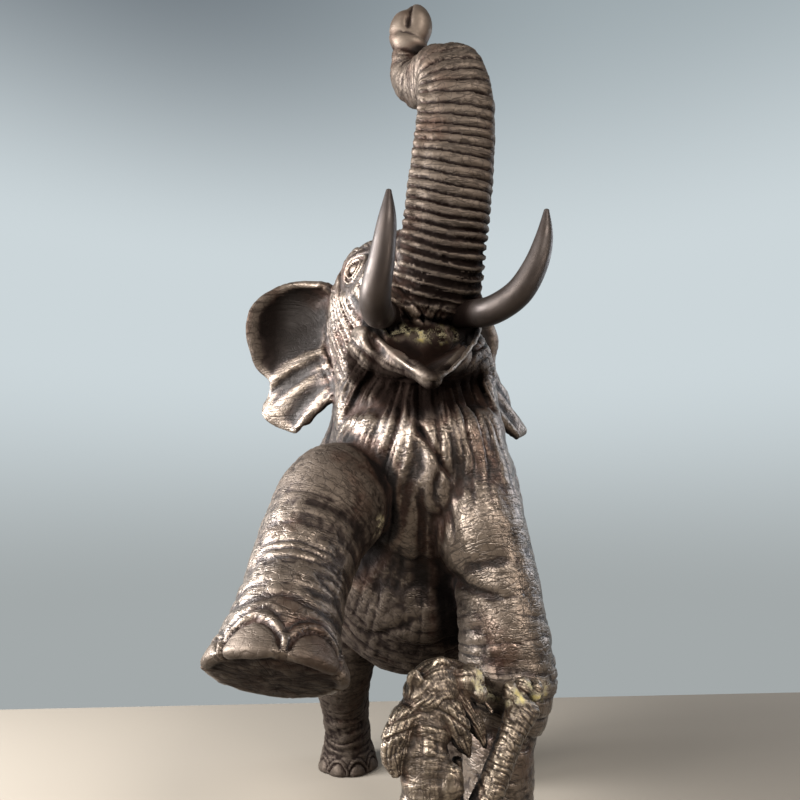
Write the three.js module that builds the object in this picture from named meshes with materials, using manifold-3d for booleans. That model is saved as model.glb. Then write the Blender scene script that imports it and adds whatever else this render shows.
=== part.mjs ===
/**
 * Bronze elephant, trunk and right forefoot raised, attacked by a tiger.
 *
 * Four castings make the group: the elephant, the tiger brazed to its left
 * foreleg, and two tusks let into sockets beside the trunk.
 *
 * Millimetres, +Z up. The elephant faces -Y, so its right side is -X. The
 * origin is on the ground under the middle of the box that the group fills.
 */
import * as THREE from 'three';
import { mergeVertices } from 'three/addons/utils/BufferGeometryUtils.js';
import Module from 'manifold-3d';

const wasm = await Module();
wasm.setup();

// ---------------------------------------------------------------- driving sizes

const CLEARANCE = 0.3; // gap that separately cast pieces keep
const EAR_THICKNESS = 5;
const HEAD_TURN = THREE.MathUtils.degToRad(20); // towards the elephant's left
const GROUP_SHIFT = [22.5, -27.1, 0]; // from the modelling centre to the box centre

const ACROSS = new THREE.Vector3(1, 0, 0);
const HEAD_RIGHT = new THREE.Vector3(-Math.cos(HEAD_TURN), -Math.sin(HEAD_TURN), 0);
const TRUNK_LEFT = new THREE.Vector3(0.99, -0.12, 0); // the trunk twists a little further round

// ---------------------------------------------------------------- solid helpers

/** A closed geometry as a manifold solid. */
function solid(geometry) {
  const bare = geometry.clone();
  bare.deleteAttribute('normal');
  bare.deleteAttribute('uv');
  const merged = mergeVertices(bare, 1e-4);
  return new wasm.Manifold(new wasm.Mesh({
    numProp: 3,
    vertProperties: new Float32Array(merged.attributes.position.array),
    triVerts: new Uint32Array(merged.index.array),
  }));
}

/** A manifold solid as a three.js geometry. */
function geometryOf(manifold) {
  const mesh = manifold.getMesh();
  const geometry = new THREE.BufferGeometry();
  geometry.setAttribute('position', new THREE.BufferAttribute(mesh.vertProperties, 3));
  geometry.setIndex(new THREE.BufferAttribute(mesh.triVerts, 1));
  return geometry;
}

const join = (solids) => solids.reduce((whole, piece) => whole.add(piece));

/** Catmull-Rom value of the columns of a table at a running row number. */
function along(table, row) {
  const last = table.length - 1;
  const i = Math.min(Math.floor(row), last - 1);
  const t = row - i;
  const [p0, p1, p2, p3] = [i - 1, i, i + 1, i + 2].map((k) => table[Math.min(Math.max(k, 0), last)]);
  return p1.map((_, c) => {
    const slopeIn = (p2[c] - p0[c]) / 2;
    const slopeOut = (p3[c] - p1[c]) / 2;
    const t2 = t * t;
    const t3 = t2 * t;
    return (2 * t3 - 3 * t2 + 1) * p1[c] + (t3 - 2 * t2 + t) * slopeIn
      + (3 * t2 - 2 * t3) * p2[c] + (t3 - t2) * slopeOut;
  });
}

/**
 * A round-sectioned limb carried along a smooth path. Each station is
 * [x, y, z, half width, half depth]; the width lies along `side`. `domes`
 * are the lengths of the rounded ends, as shares of the end's half depth.
 */
function limb(stations, { side = ACROSS, steps = 3, sides = 14, domes = [0.6, 0.6], grow = 0 } = {}) {
  const rows = (stations.length - 1) * steps;
  const rings = [];
  for (let k = 0; k <= rows; k += 1) {
    const [x, y, z, wide, deep] = along(stations, k / steps);
    rings.push({ at: new THREE.Vector3(x, y, z), wide: wide + grow, deep: deep + grow });
  }
  rings.forEach((ring, k) => {
    const before = rings[Math.max(k - 1, 0)].at;
    const after = rings[Math.min(k + 1, rows)].at;
    ring.ahead = after.clone().sub(before).normalize();
    ring.side = side.clone().addScaledVector(ring.ahead, -side.dot(ring.ahead)).normalize();
    ring.up = new THREE.Vector3().crossVectors(ring.ahead, ring.side);
  });
  const dome = (ring, length, sign) => [0.5, 0.87].map((sine) => ({
    ...ring,
    at: ring.at.clone().addScaledVector(ring.ahead, sign * sine * length * ring.deep),
    wide: ring.wide * Math.sqrt(1 - sine * sine),
    deep: ring.deep * Math.sqrt(1 - sine * sine),
  }));
  const [first, last] = [rings[0], rings[rows]];
  const all = [
    ...(domes[0] > 0 ? dome(first, domes[0], -1).reverse() : []),
    ...rings,
    ...(domes[1] > 0 ? dome(last, domes[1], 1) : []),
  ];
  const points = [];
  all.forEach((ring) => {
    for (let s = 0; s < sides; s += 1) {
      const angle = (2 * Math.PI * s) / sides;
      points.push(ring.at.clone()
        .addScaledVector(ring.side, Math.cos(angle) * ring.wide)
        .addScaledVector(ring.up, Math.sin(angle) * ring.deep));
    }
  });
  const poles = [
    first.at.clone().addScaledVector(first.ahead, -domes[0] * first.deep),
    last.at.clone().addScaledVector(last.ahead, domes[1] * last.deep),
  ];
  return closedTube(points, sides, poles);
}

/**
 * Triangles for rings of equal length with a pole at each end. Without a
 * second pole the last ring is a flat loop, zipped shut across itself.
 */
function closedTube(points, sides, poles) {
  const ringCount = points.length / sides;
  const faces = [];
  for (let r = 0; r < ringCount - 1; r += 1) {
    for (let s = 0; s < sides; s += 1) {
      const a = r * sides + s;
      const b = r * sides + ((s + 1) % sides);
      faces.push(a, b, a + sides, b, b + sides, a + sides);
    }
  }
  const start = points.length;
  const end = start + 1;
  const base = (ringCount - 1) * sides;
  for (let s = 0; s < sides; s += 1) {
    const next = (s + 1) % sides;
    faces.push(start, next, s);
    if (poles.length > 1) faces.push(end, base + s, base + next);
  }
  for (let s = 0; poles.length < 2 && s < sides / 2 - 1; s += 1) {
    const across = base + sides - 1 - s;
    faces.push(base + s, base + s + 1, across - 1, base + s, across - 1, across);
  }
  const geometry = new THREE.BufferGeometry();
  geometry.setFromPoints([...points, ...poles]);
  geometry.setIndex(faces);
  return solid(geometry);
}

/** An egg-shaped lump, turned so that its length lies along `ahead`. */
function lump(at, radii, ahead = new THREE.Vector3(0, 1, 0), detail = [12, 8]) {
  const geometry = new THREE.SphereGeometry(1, ...detail);
  geometry.scale(...radii);
  const turn = new THREE.Quaternion().setFromUnitVectors(new THREE.Vector3(0, 1, 0), ahead.clone().normalize());
  geometry.applyQuaternion(turn);
  geometry.translate(...at);
  return solid(geometry);
}

/**
 * An ear: a thin sheet stretched from the root line on the head to the rim,
 * bellied forwards, and closed round its edge.
 */
function ear(root, rim, belly, thickness) {
  const across = 5;
  const down = 12;
  const middle = (u, v) => {
    const inner = along(root, v * (root.length - 1));
    const outer = along(rim, v * (rim.length - 1));
    const swell = Math.sin(Math.PI * u) * Math.sin(Math.PI * v);
    return new THREE.Vector3(...inner.map((value, c) => value + (outer[c] - value) * u + belly[c] * swell));
  };
  const points = [];
  for (let i = 0; i <= across; i += 1) {
    const front = [];
    const back = [];
    for (let j = 0; j <= down; j += 1) {
      const [u, v] = [i / across, j / down];
      const here = middle(u, v);
      const du = middle(Math.min(u + 0.01, 1), v).sub(middle(Math.max(u - 0.01, 0), v));
      const dv = middle(u, Math.min(v + 0.01, 1)).sub(middle(u, Math.max(v - 0.01, 0)));
      const normal = du.cross(dv).normalize();
      const half = thickness * (0.5 + 0.8 * (1 - u) ** 2);
      front.push(here.clone().addScaledVector(normal, half));
      back.push(here.clone().addScaledVector(normal, -half));
    }
    points.push(...front, ...back.reverse());
  }
  const sides = 2 * (down + 1);
  const rootCentre = new THREE.Vector3();
  points.slice(0, sides).forEach((point) => rootCentre.addScaledVector(point, 1 / sides));
  return { points, sides, poles: [rootCentre] };
}

function earSolid(...sizes) {
  const { points, sides, poles } = ear(...sizes);
  const made = closedTube(points, sides, poles);
  if (made.volume() > 0) return made;
  // The other ear runs the other way round, so its rings are reversed.
  const turned = [];
  for (let r = 0; r < points.length / sides; r += 1) {
    turned.push(...points.slice(r * sides, (r + 1) * sides).reverse());
  }
  return closedTube(turned, sides, poles);
}

// ---------------------------------------------------------------- elephant

const TORSO = [
  [0, -76, 318, 50, 58],
  [0, -60, 313, 74, 90],
  [0, -32, 303, 92, 121],
  [0, 14, 292, 101, 138],
  [0, 80, 286, 104, 140],
  [0, 145, 290, 98, 130],
  [0, 200, 296, 84, 114],
  [0, 240, 300, 58, 84],
];

const NECK = [
  [0, -36, 345, 76, 78],
  [-4, -50, 400, 69, 64],
  [-12, -44, 445, 62, 54],
];

const NAPE = [
  [0, 95, 362, 70, 60],
  [-2, 45, 388, 72, 60],
  [-10, 5, 420, 66, 58],
  [-20, -20, 448, 58, 52],
];

const CHEST = [
  [-4, -66, 412, 52, 44],
  [-2, -86, 370, 58, 50],
  [0, -92, 332, 54, 42],
  [0, -76, 296, 46, 34],
  [0, -56, 270, 38, 28],
];
const DEWLAP = { at: [-1, -124, 342], radii: [25, 34, 17], ahead: new THREE.Vector3(0.15, 0, -1) };

const RIGHT_BROW = [-46, -70, 500];
const LEFT_BROW = [26, -42, 500];
const BROW_RADIUS = 18;

const SKULL = [
  [-24, -2, 452, 56, 48],
  [-18, -28, 468, 60, 56],
  [-12, -55, 481, 58, 54],
  [-5, -80, 481, 51, 46],
  [5, -90, 474, 40, 34],
];

const TRUNK = [
  [8, -78, 455, 36, 26],
  [12, -105, 489, 33, 33],
  [16, -124, 535, 32, 33],
  [20, -136, 580, 30, 31],
  [20, -142, 612, 28, 28],
  [14, -136, 638, 25, 24],
  [1, -112, 650, 20, 19],
  [-12, -98, 668, 15, 16],
  [-12, -105, 691, 14.5, 14],
  [-11, -109, 706, 13, 12.5],
];
const TRUNK_FINGERS = [
  { at: [-21, -109, 704], radii: [8, 12, 9], ahead: new THREE.Vector3(0.35, -0.1, 1) },
  { at: [-4, -112, 707], radii: [10, 16, 9.5], ahead: new THREE.Vector3(-0.3, 0, 1) },
];

const JAW = [
  [-6, -60, 414, 52, 34],
  [-4, -100, 413, 48, 26],
  [-4, -132, 406, 33, 17],
  [-4, -157, 394, 18, 10],
  [-3, -172, 386, 8, 6],
];
const MOUTH = { at: [-4, -142, 428], radii: [27, 42, 15], ahead: new THREE.Vector3(0, -0.8, -0.6) };

const LEFT_FORELEG = [
  [32, -72, 350, 36, 52],
  [41, -92, 300, 33, 48],
  [50, -110, 250, 31, 41],
  [54, -119, 210, 32, 38],
  [55, -121, 182, 34, 38],
  [52, -121, 163, 30, 33],
  [48, -120, 140, 26, 28],
  [46, -119, 90, 25, 27],
  [46, -119, 32, 27, 30],
  [46, -119, 0, 32, 36],
  [46, -119, -8, 32, 36],
];

const RAISED_FORELEG = [
  [-58, -94, 310, 36, 38],
  [-70, -114, 304, 41, 44],
  [-83, -133, 281, 37, 40],
  [-91, -158, 255, 34, 35],
  [-95, -176, 237, 34, 35],
  [-98, -190, 221, 37, 38],
  [-100, -200, 205, 42, 42],
];

const HIND_LEG = [
  [-46, 150, 300, 56, 84],
  [-56, 158, 210, 50, 68],
  [-66, 164, 130, 36, 44],
  [-64, 190, 80, 27, 32],
  [-60, 206, 38, 26, 31],
  [-59, 212, 0, 34, 37],
  [-59, 212, -8, 34, 37],
];
const LEFT_STRIDE = 55; // how far the left hind foot stands ahead of the right

const TAIL = [
  [0, 232, 350, 10, 10],
  [0, 256, 338, 8, 8],
  [2, 271, 298, 6, 6],
  [4, 276, 244, 5, 5],
  [5, 272, 194, 5, 5],
  [5, 268, 168, 7, 7],
  [5, 267, 142, 3, 3],
];

const RIGHT_EAR_ROOT = [[-66, -42, 492], [-70, -40, 450], [-68, -54, 398]];
const RIGHT_EAR_RIM = [
  [-88, -36, 500], [-120, -28, 500], [-148, -32, 479], [-152, -32, 447],
  [-137, -24, 415], [-133, -24, 388], [-112, -34, 360], [-88, -48, 384],
];
const RIGHT_EAR_BELLY = [0, 20, 0];

const LEFT_EAR_ROOT = [[34, -28, 490], [42, -34, 450], [46, -46, 400]];
const LEFT_EAR_RIM = [
  [52, -14, 496], [72, 14, 490], [86, 28, 468], [84, 34, 440],
  [94, 30, 410], [104, 20, 382], [104, 8, 360], [78, -16, 378],
];
const LEFT_EAR_BELLY = [0, 10, 0];

/** A hind leg on the other side, standing further forward at the foot. */
const otherSide = (stations, forward) => stations.map(([x, y, z, wide, deep]) => {
  const share = 1 - Math.min(Math.max(z, 0) / stations[0][2], 1);
  return [-x, y - forward * share, z, wide, deep];
});

// ---------------------------------------------------------------- tusks

const RIGHT_TUSK = [
  [-30, -106, 452, 11, 11],
  [-34, -128, 446, 11, 11],
  [-40, -150, 441, 11.5, 11.5],
  [-42, -170, 448, 11, 11],
  [-38, -182, 470, 9, 9],
  [-35, -188, 494, 6.5, 6.5],
  [-34, -190, 514, 2, 2],
];

const LEFT_TUSK = [
  [25, -98, 455, 11, 11],
  [34, -118, 450, 11, 11],
  [47, -140, 447, 11, 11],
  [63, -154, 456, 10.5, 10.5],
  [74, -162, 474, 9, 9],
  [80, -166, 494, 6.5, 6.5],
  [82, -168, 514, 2, 2],
];

// ---------------------------------------------------------------- tiger

const TIGER_BACK = [
  [0, -168, 42, 17, 19],
  [-3, -178, 66, 19, 20],
  [-6, -186, 94, 19, 18],
  [-9, -189, 116, 18, 16],
  [-11, -188, 136, 14.5, 14],
  [-10, -184, 158, 13.5, 13.5],
  [-7, -177, 176, 15, 14],
];

const TIGER_HEAD = [
  [-14, -180, 184, 12, 13],
  [-2, -173, 189, 15, 17],
  [10, -164, 189, 12, 14],
  [20, -157, 185, 9, 10],
  [27, -152, 182, 8, 8],
];

const TIGER_RIGHT_ARM = [
  [6, -190, 112, 13, 12],
  [20, -191, 122, 10.5, 10],
  [32, -186, 142, 9.5, 9],
  [44, -178, 162, 9, 9],
  [54, -170, 176, 11, 9],
];

const TIGER_LEFT_ARM = [
  [-10, -188, 116, 12, 12],
  [-26, -188, 140, 9, 9],
  [-28, -182, 160, 8, 9],
  [-10, -162, 170, 7.5, 7.5],
  [12, -146, 172, 8, 8],
];

const TIGER_HIND_LEG = [
  [-9, -168, 50, 15, 18],
  [-22, -182, 42, 12, 15],
  [-27, -186, 26, 9, 10],
  [-26, -176, 12, 7, 7.5],
  [-26, -186, 5, 8, 7],
  [-26, -196, 4, 8, 6],
];

const TIGER_TAIL = [
  [0, -156, 40, 6, 6],
  [6, -160, 60, 5, 5],
  [10, -172, 90, 4, 4],
  [10, -177, 120, 3.5, 3.5],
  [10, -177, 148, 3.2, 3.2],
];

// ---------------------------------------------------------------- assembly

const headSide = HEAD_RIGHT.clone().negate();
const flatFoot = { steps: 2, domes: [0.6, 0] };
const belowGround = (() => {
  const block = new THREE.BoxGeometry(800, 1000, 100);
  block.translate(0, 0, -50);
  return solid(block);
})();

const lumpOf = ({ at, radii, ahead }) => lump(at, radii, ahead);
const leftForeleg = limb(LEFT_FORELEG, flatFoot);
const elephantBody = join([
  limb(TORSO, { sides: 18, steps: 2 }),
  limb(NECK, { sides: 16, steps: 2 }),
  limb(NAPE, { sides: 16, steps: 2 }),
  limb(CHEST, { sides: 16, steps: 2 }),
  lumpOf(DEWLAP),
  limb(SKULL, { side: headSide, sides: 18, steps: 2 }),
  ...[RIGHT_BROW, LEFT_BROW].map((at) => lump(at, [BROW_RADIUS, BROW_RADIUS, BROW_RADIUS])),
  limb(TRUNK, { side: TRUNK_LEFT, sides: 16, steps: 3, domes: [0.5, 0.9] }),
  ...TRUNK_FINGERS.map(lumpOf),
  limb(JAW, { side: headSide, sides: 18, steps: 2 }),
  leftForeleg,
  limb(RAISED_FORELEG, flatFoot),
  limb(HIND_LEG, flatFoot),
  limb(otherSide(HIND_LEG, LEFT_STRIDE), flatFoot),
  limb(TAIL, { sides: 8, steps: 2 }),
  earSolid(RIGHT_EAR_ROOT, RIGHT_EAR_RIM, RIGHT_EAR_BELLY, EAR_THICKNESS),
  earSolid(LEFT_EAR_ROOT, LEFT_EAR_RIM, LEFT_EAR_BELLY, EAR_THICKNESS),
]);

const tuskShape = { sides: 12, steps: 2 };
const sockets = join([RIGHT_TUSK, LEFT_TUSK].map((line) => limb(line, { ...tuskShape, grow: CLEARANCE })));
const elephantSolid = elephantBody.subtract(lumpOf(MOUTH)).subtract(sockets).subtract(belowGround);

const tigerBody = join([
  limb(TIGER_BACK, { sides: 14, steps: 1 }),
  limb(TIGER_HEAD, { sides: 12, steps: 2 }),
  limb(TIGER_RIGHT_ARM, { sides: 10, steps: 2 }),
  limb(TIGER_LEFT_ARM, { sides: 9, steps: 2 }),
  limb(TIGER_HIND_LEG, { sides: 9, steps: 2 }),
  limb(TIGER_HIND_LEG.map(([x, y, z, w, d]) => [-x, y, z, w, d]), { sides: 9, steps: 2 }),
  limb(TIGER_TAIL, { sides: 7, steps: 2 }),
]);
const tigerSolid = tigerBody
  .subtract(limb(LEFT_FORELEG, { ...flatFoot, grow: CLEARANCE }))
  .subtract(belowGround);

const bronze = { color: 0x3a2a22, roughness: 0.42, metalness: 1 };
const polished = { color: 0x5a4638, roughness: 0.25, metalness: 1 };

function piece(name, manifold, finish) {
  const mesh = new THREE.Mesh(geometryOf(manifold), new THREE.MeshStandardMaterial(finish));
  mesh.name = name;
  mesh.position.set(...GROUP_SHIFT);
  return mesh;
}

const group = new THREE.Group();
group.add(
  piece('elephant', elephantSolid, bronze),
  piece('tusk_right', limb(RIGHT_TUSK, tuskShape), polished),
  piece('tusk_left', limb(LEFT_TUSK, tuskShape), polished),
  piece('tiger', tigerSolid, bronze),
);

export default group;
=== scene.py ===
"""Looks of the bronze elephant group: sculpted skin, patina, floor, light and camera.

The elephant and the tiger are worked the way a modeller works a wax: rough
limbs are laid into a block of clay and smoothed together, the clay is skinned
with a fine mesh, and the folds, wrinkles, nails and stripes are pressed into
that mesh as relief. Lengths are millimetres until a piece is finished.
"""
import math

import bpy
import numpy as np
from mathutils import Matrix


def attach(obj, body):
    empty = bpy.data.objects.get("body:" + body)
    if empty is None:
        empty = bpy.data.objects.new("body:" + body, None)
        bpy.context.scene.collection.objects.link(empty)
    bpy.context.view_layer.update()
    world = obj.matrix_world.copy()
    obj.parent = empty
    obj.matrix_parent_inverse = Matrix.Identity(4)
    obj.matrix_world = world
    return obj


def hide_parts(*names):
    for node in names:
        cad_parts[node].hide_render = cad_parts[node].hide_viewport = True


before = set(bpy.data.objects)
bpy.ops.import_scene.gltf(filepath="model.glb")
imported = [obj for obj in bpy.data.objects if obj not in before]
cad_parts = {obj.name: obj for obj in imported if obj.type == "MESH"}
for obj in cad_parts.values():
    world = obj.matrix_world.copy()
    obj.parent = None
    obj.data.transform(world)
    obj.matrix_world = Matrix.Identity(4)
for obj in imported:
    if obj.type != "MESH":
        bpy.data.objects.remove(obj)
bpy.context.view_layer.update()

import openvdb

MM = 0.001
ELEPHANT_VOXEL = 1.25
TIGER_VOXEL = 0.7
PIECE_TRIANGLES = 196000
GROUP_SHIFT = np.array([22.5, -27.1, 0.0])  # modelling centre to the origin

HEAD_TURN = math.radians(20)
ACROSS = np.array([1.0, 0.0, 0.0])
HEAD_LEFT = np.array([math.cos(HEAD_TURN), math.sin(HEAD_TURN), 0.0])
HEAD_FRONT = np.array([math.sin(HEAD_TURN), -math.cos(HEAD_TURN), 0.0])
TRUNK_LEFT = np.array([0.99, -0.12, 0.0])  # the trunk faces back a little the other way
UPRIGHT = np.array([0.0, 0.0, 1.0])
FAR = 12.0  # the distance in mm that stands for open space in a block of clay
SHELTER_REACH = 14  # voxels
SHELTER_STEPS = ((1.7, 0.2), (4, 0.25), (7.5, 0.3), (12.5, 0.25))  # voxels outwards, weight


# ---- numbers

def mix(a, b, share):
    """a where share is 0, b where it is 1."""
    return a + (b - a) * share


def ramp(low, high, value):
    """0 below low, 1 above high, with a smooth S between (low may exceed high)."""
    t = np.clip((value - low) / (high - low), 0, 1)
    return t * t * (3 - 2 * t)


def hump(centre, width, value):
    """1 at centre, falling off as a bell; width is where it is down to a third."""
    return np.exp(-((value - centre) / width) ** 2)


def lattice(i, j, k, seed):
    """A fixed random number from -1 to 1 for each corner of a cubic lattice."""
    n = i * 374761393 + j * 668265263 + k * 2147483647 + seed * 1274126177
    n = (n ^ (n >> 13)) * 1103515245
    n = (n ^ (n >> 16)) & 0xFFFFFF
    return n.astype(np.float32) / 0x7FFFFF - 1


def blended(whole, f, value):
    """value(i, j, k) at the eight corners of each cell, blended by the fractions f."""
    total = 0
    for corner in np.ndindex(2, 2, 2):
        weight = 1
        for axis, step in enumerate(corner):
            weight = weight * (f[:, axis] if step else 1 - f[:, axis])
        total = total + weight * value(*(whole + corner).T)
    return total


def noise(p, size, seed=0):
    """Smooth random hills about `size` apart: lattice numbers blended by quintic steps."""
    q = p / size
    whole = np.floor(q).astype(np.int64)
    f = (q - whole).astype(np.float32)
    f = f * f * f * (f * (f * 6 - 15) + 10)
    return blended(whole, f, lambda i, j, k: lattice(i, j, k, seed))


def ridges(q, seed):
    """Rounded folds with sharp creases between: -0.6 in a crease, up to 0.6 on a fold.

    The absolute value of smooth noise, cut off at the top.
    """
    return np.minimum(np.abs(noise(q, 1.0, seed)) * 2.6, 1.2) - 0.6


def track(stations, steps):
    """Catmull-Rom rows through a table of stations, `steps` rows for each gap."""
    table = np.array(stations, float)
    last = len(table) - 1
    row = np.arange(last * steps + 1) / steps
    i = np.minimum(row.astype(int), last - 1)
    t = (row - i)[:, None]
    p0, p1, p2, p3 = (table[np.clip(i + k, 0, last)] for k in (-1, 0, 1, 2))
    slope_in, slope_out = (p2 - p0) / 2, (p3 - p1) / 2
    return ((2 * t ** 3 - 3 * t ** 2 + 1) * p1 + (t ** 3 - 2 * t ** 2 + t) * slope_in
            + (3 * t ** 2 - 2 * t ** 3) * p2 + (t ** 3 - t ** 2) * slope_out)


def unit(v):
    """The vectors divided by their own lengths."""
    return v / np.maximum(np.linalg.norm(v, axis=-1, keepdims=True), 1e-9)


class Limb:
    """A round form carried along a smooth path of [x, y, z, half width, half depth].

    The width lies along `side`; angle 0 is on that side, and 90 degrees is
    along ahead x side. `domes` are the rounded ends' lengths as shares of the
    half depth, and `square` flattens the section's faces when above 2.
    """

    def __init__(self, stations, side=ACROSS, domes=(0.6, 0.6), square=2.0, steps=12):
        rows = track(stations, steps)
        self.at, self.wide, self.deep = rows[:, :3], rows[:, 3], rows[:, 4]
        step = np.roll(self.at, -1, 0) - np.roll(self.at, 1, 0)
        step[0], step[-1] = self.at[1] - self.at[0], self.at[-1] - self.at[-2]
        self.ahead = unit(step)
        self.side = unit(side - self.ahead * (self.ahead @ side)[:, None])
        self.up = np.cross(self.ahead, self.side)
        gaps = np.linalg.norm(np.diff(self.at, axis=0), axis=1)
        self.length = np.concatenate([[0], np.cumsum(gaps)])
        self.domes, self.square = domes, square

    def body(self, sides=64):
        """The closed surface: rings along the path, rounded ends, a pole at each end."""
        arc = np.linspace(0, math.pi / 2, 9)[1:-1]
        rows = [(self.at, self.wide, self.deep, self.side, self.up)]
        for end, sign in ((0, -1), (-1, 1)):
            length = self.domes[end] * self.deep[end]
            if length <= 0:
                continue
            order = arc[::sign]
            at = self.at[end] + sign * np.sin(order)[:, None] * length * self.ahead[end]
            cap = (at, self.wide[end] * np.cos(order), self.deep[end] * np.cos(order),
                   np.repeat(self.side[[end]], len(arc), 0), np.repeat(self.up[[end]], len(arc), 0))
            rows = [cap] + rows if end == 0 else rows + [cap]
        at, wide, deep, side, up = (np.concatenate(c) for c in zip(*rows))
        turn = np.linspace(0, 2 * math.pi, sides, endpoint=False)
        cos, sin = np.cos(turn), np.sin(turn)
        swell = (np.abs(cos) ** self.square + np.abs(sin) ** self.square) ** (-1 / self.square)
        points = (at[:, None] + side[:, None] * (cos * swell)[None, :, None] * wide[:, None, None]
                  + up[:, None] * (sin * swell)[None, :, None] * deep[:, None, None])
        tips = [self.at[0] - self.domes[0] * self.deep[0] * self.ahead[0],
                self.at[-1] + self.domes[1] * self.deep[-1] * self.ahead[-1]]
        return tube(points, tips)

    def place(self, points):
        """For each point: mm along the path, angle, and distance from it in radii."""
        along, angle, radii = (np.empty(len(points)) for _ in range(3))
        for start in range(0, len(points), 40000):
            part = points[start:start + 40000]
            gap = ((part ** 2).sum(1)[:, None] + (self.at ** 2).sum(1)[None] - 2 * part @ self.at.T)
            near = gap.argmin(1)
            off = part - self.at[near]
            x = (off * self.side[near]).sum(1) / self.wide[near]
            y = (off * self.up[near]).sum(1) / self.deep[near]
            run = (off * self.ahead[near]).sum(1)
            here = slice(start, start + len(part))
            along[here] = self.length[near] + run
            angle[here] = np.arctan2(y, x)
            beyond = np.where((near == 0) | (near == len(self.at) - 1), run / self.deep[near], 0)
            radii[here] = np.sqrt(x * x + y * y + beyond ** 2)
        return along, angle, radii


def tube(points, tips):
    """Vertices, quads and end fans for a grid of rings [ring, around, xyz] and two tips."""
    rings, sides, _ = points.shape
    r, s = np.meshgrid(np.arange(rings - 1), np.arange(sides), indexing="ij")
    a, b = r * sides + s, r * sides + (s + 1) % sides
    quads = np.stack([a, b, b + sides, a + sides], -1).reshape(-1, 4)
    k = np.arange(sides)
    first, last = rings * sides, rings * sides + 1
    base = (rings - 1) * sides
    fans = np.concatenate([
        np.stack([np.full(sides, first), (k + 1) % sides, k], 1),
        np.stack([np.full(sides, last), base + k, base + (k + 1) % sides], 1)])
    return np.concatenate([points.reshape(-1, 3), np.array(tips)]), quads, fans


def egg(at, radii, ahead=(0, 0, 1), side=ACROSS):
    """An egg-shaped lump with its third radius along `ahead`."""
    ahead = unit(np.array(ahead, float))
    side = unit(side - ahead * (ahead @ side))
    up = np.cross(ahead, side)
    lat = np.linspace(-math.pi / 2, math.pi / 2, 25)[1:-1]
    lon = np.linspace(0, 2 * math.pi, 40, endpoint=False)
    ring = (side * radii[0] * np.cos(lon)[:, None] + up * radii[1] * np.sin(lon)[:, None])
    points = (np.array(at, float) + ring[None] * np.cos(lat)[:, None, None]
              + (ahead * radii[2])[None, None] * np.sin(lat)[:, None, None])
    return tube(points, [at - ahead * radii[2], at + ahead * radii[2]])


def level_set(voxel, half, points, triangles, **quads):
    """Distances to a closed mesh within `half` voxels of it, negative inside."""
    return openvdb.FloatGrid.createLevelSetFromPolygons(
        points.astype(np.float32), triangles=triangles.astype(np.uint32),
        transform=openvdb.createLinearTransform(voxelSize=voxel), halfWidth=half, **quads)


class Clay:
    """A block of clay: a grid of distances to the surface in mm, negative inside."""

    def __init__(self, low, high, voxel):
        self.voxel = voxel
        self.low = np.floor(np.array(low) / voxel).astype(int) - 4
        shape = np.ceil(np.array(high) / voxel).astype(int) + 5 - self.low
        self.field = np.full(shape, FAR, np.float32)

    def distances(self, body, reach):
        """The distances to one closed body, and where their block lies in the grid."""
        points, quads, triangles = body
        half = reach / self.voxel
        grid = level_set(self.voxel, half, points, triangles, quads=quads.astype(np.uint32))
        low = np.maximum(np.floor(points.min(0) / self.voxel - half - 1).astype(int), self.low)
        high = np.minimum(np.ceil(points.max(0) / self.voxel + half + 2).astype(int),
                          self.low + np.array(self.field.shape))
        block = np.full(high - low, reach, np.float32)
        grid.copyToArray(block, ijk=tuple(int(v) for v in low))
        start = low - self.low
        return block, tuple(slice(s, s + n) for s, n in zip(start, block.shape))

    def add(self, body, blend=8.0):
        """Joins a body on, filling the crease to about `blend` mm with a fillet."""
        block, where = self.distances(body, max(blend, 3 * self.voxel))
        here = self.field[where]
        overlap = np.maximum(blend - np.abs(here - block), 0) / blend
        self.field[where] = np.minimum(here, block) - overlap ** 2 * blend / 4

    def cut(self, body, blend=2.0):
        """Hollows a body out, rounding the edge it leaves to about `blend` mm."""
        block, where = self.distances(body, max(blend, 3 * self.voxel))
        here = self.field[where]
        overlap = np.maximum(blend - np.abs(here + block), 0) / blend
        self.field[where] = np.maximum(here, -block) + overlap ** 2 * blend / 4

    def level_off(self, height=0.0):
        """Cuts everything below a height, so that what stands there has a flat sole."""
        z = (np.arange(self.field.shape[2]) + self.low[2]) * self.voxel
        self.field = np.maximum(self.field, (height - z)[None, None].astype(np.float32))

    def skin(self):
        """The surface as points and triangles."""
        band = 3 * self.voxel
        grid = openvdb.FloatGrid(band)
        grid.transform = openvdb.createLinearTransform(voxelSize=self.voxel)
        grid.copyFromArray(np.clip(self.field, -band, band), ijk=tuple(int(v) for v in self.low))
        points, quads = grid.convertToQuads(isovalue=0.0)
        points, quads = np.asarray(points, float), np.asarray(quads, np.int64)
        triangles = np.concatenate([quads[:, [0, 1, 2]], quads[:, [0, 2, 3]]])
        return points, outward(points, triangles)


def outward(points, triangles):
    """The triangles, turned round if together they enclose a negative volume."""
    a, b, c = (points[triangles[:, k]] for k in range(3))
    volume = (np.cross(a, b) * c).sum()
    return triangles if volume > 0 else triangles[:, ::-1]


def normals(points, triangles):
    """Vertex normals: the sum of the face normals round each vertex, weighted by area."""
    a, b, c = (points[triangles[:, k]] for k in range(3))
    face = np.cross(b - a, c - a)
    total = np.zeros_like(points)
    for k in range(3):
        for axis in range(3):
            total[:, axis] += np.bincount(triangles[:, k], face[:, axis], len(points))
    return unit(total)


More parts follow.
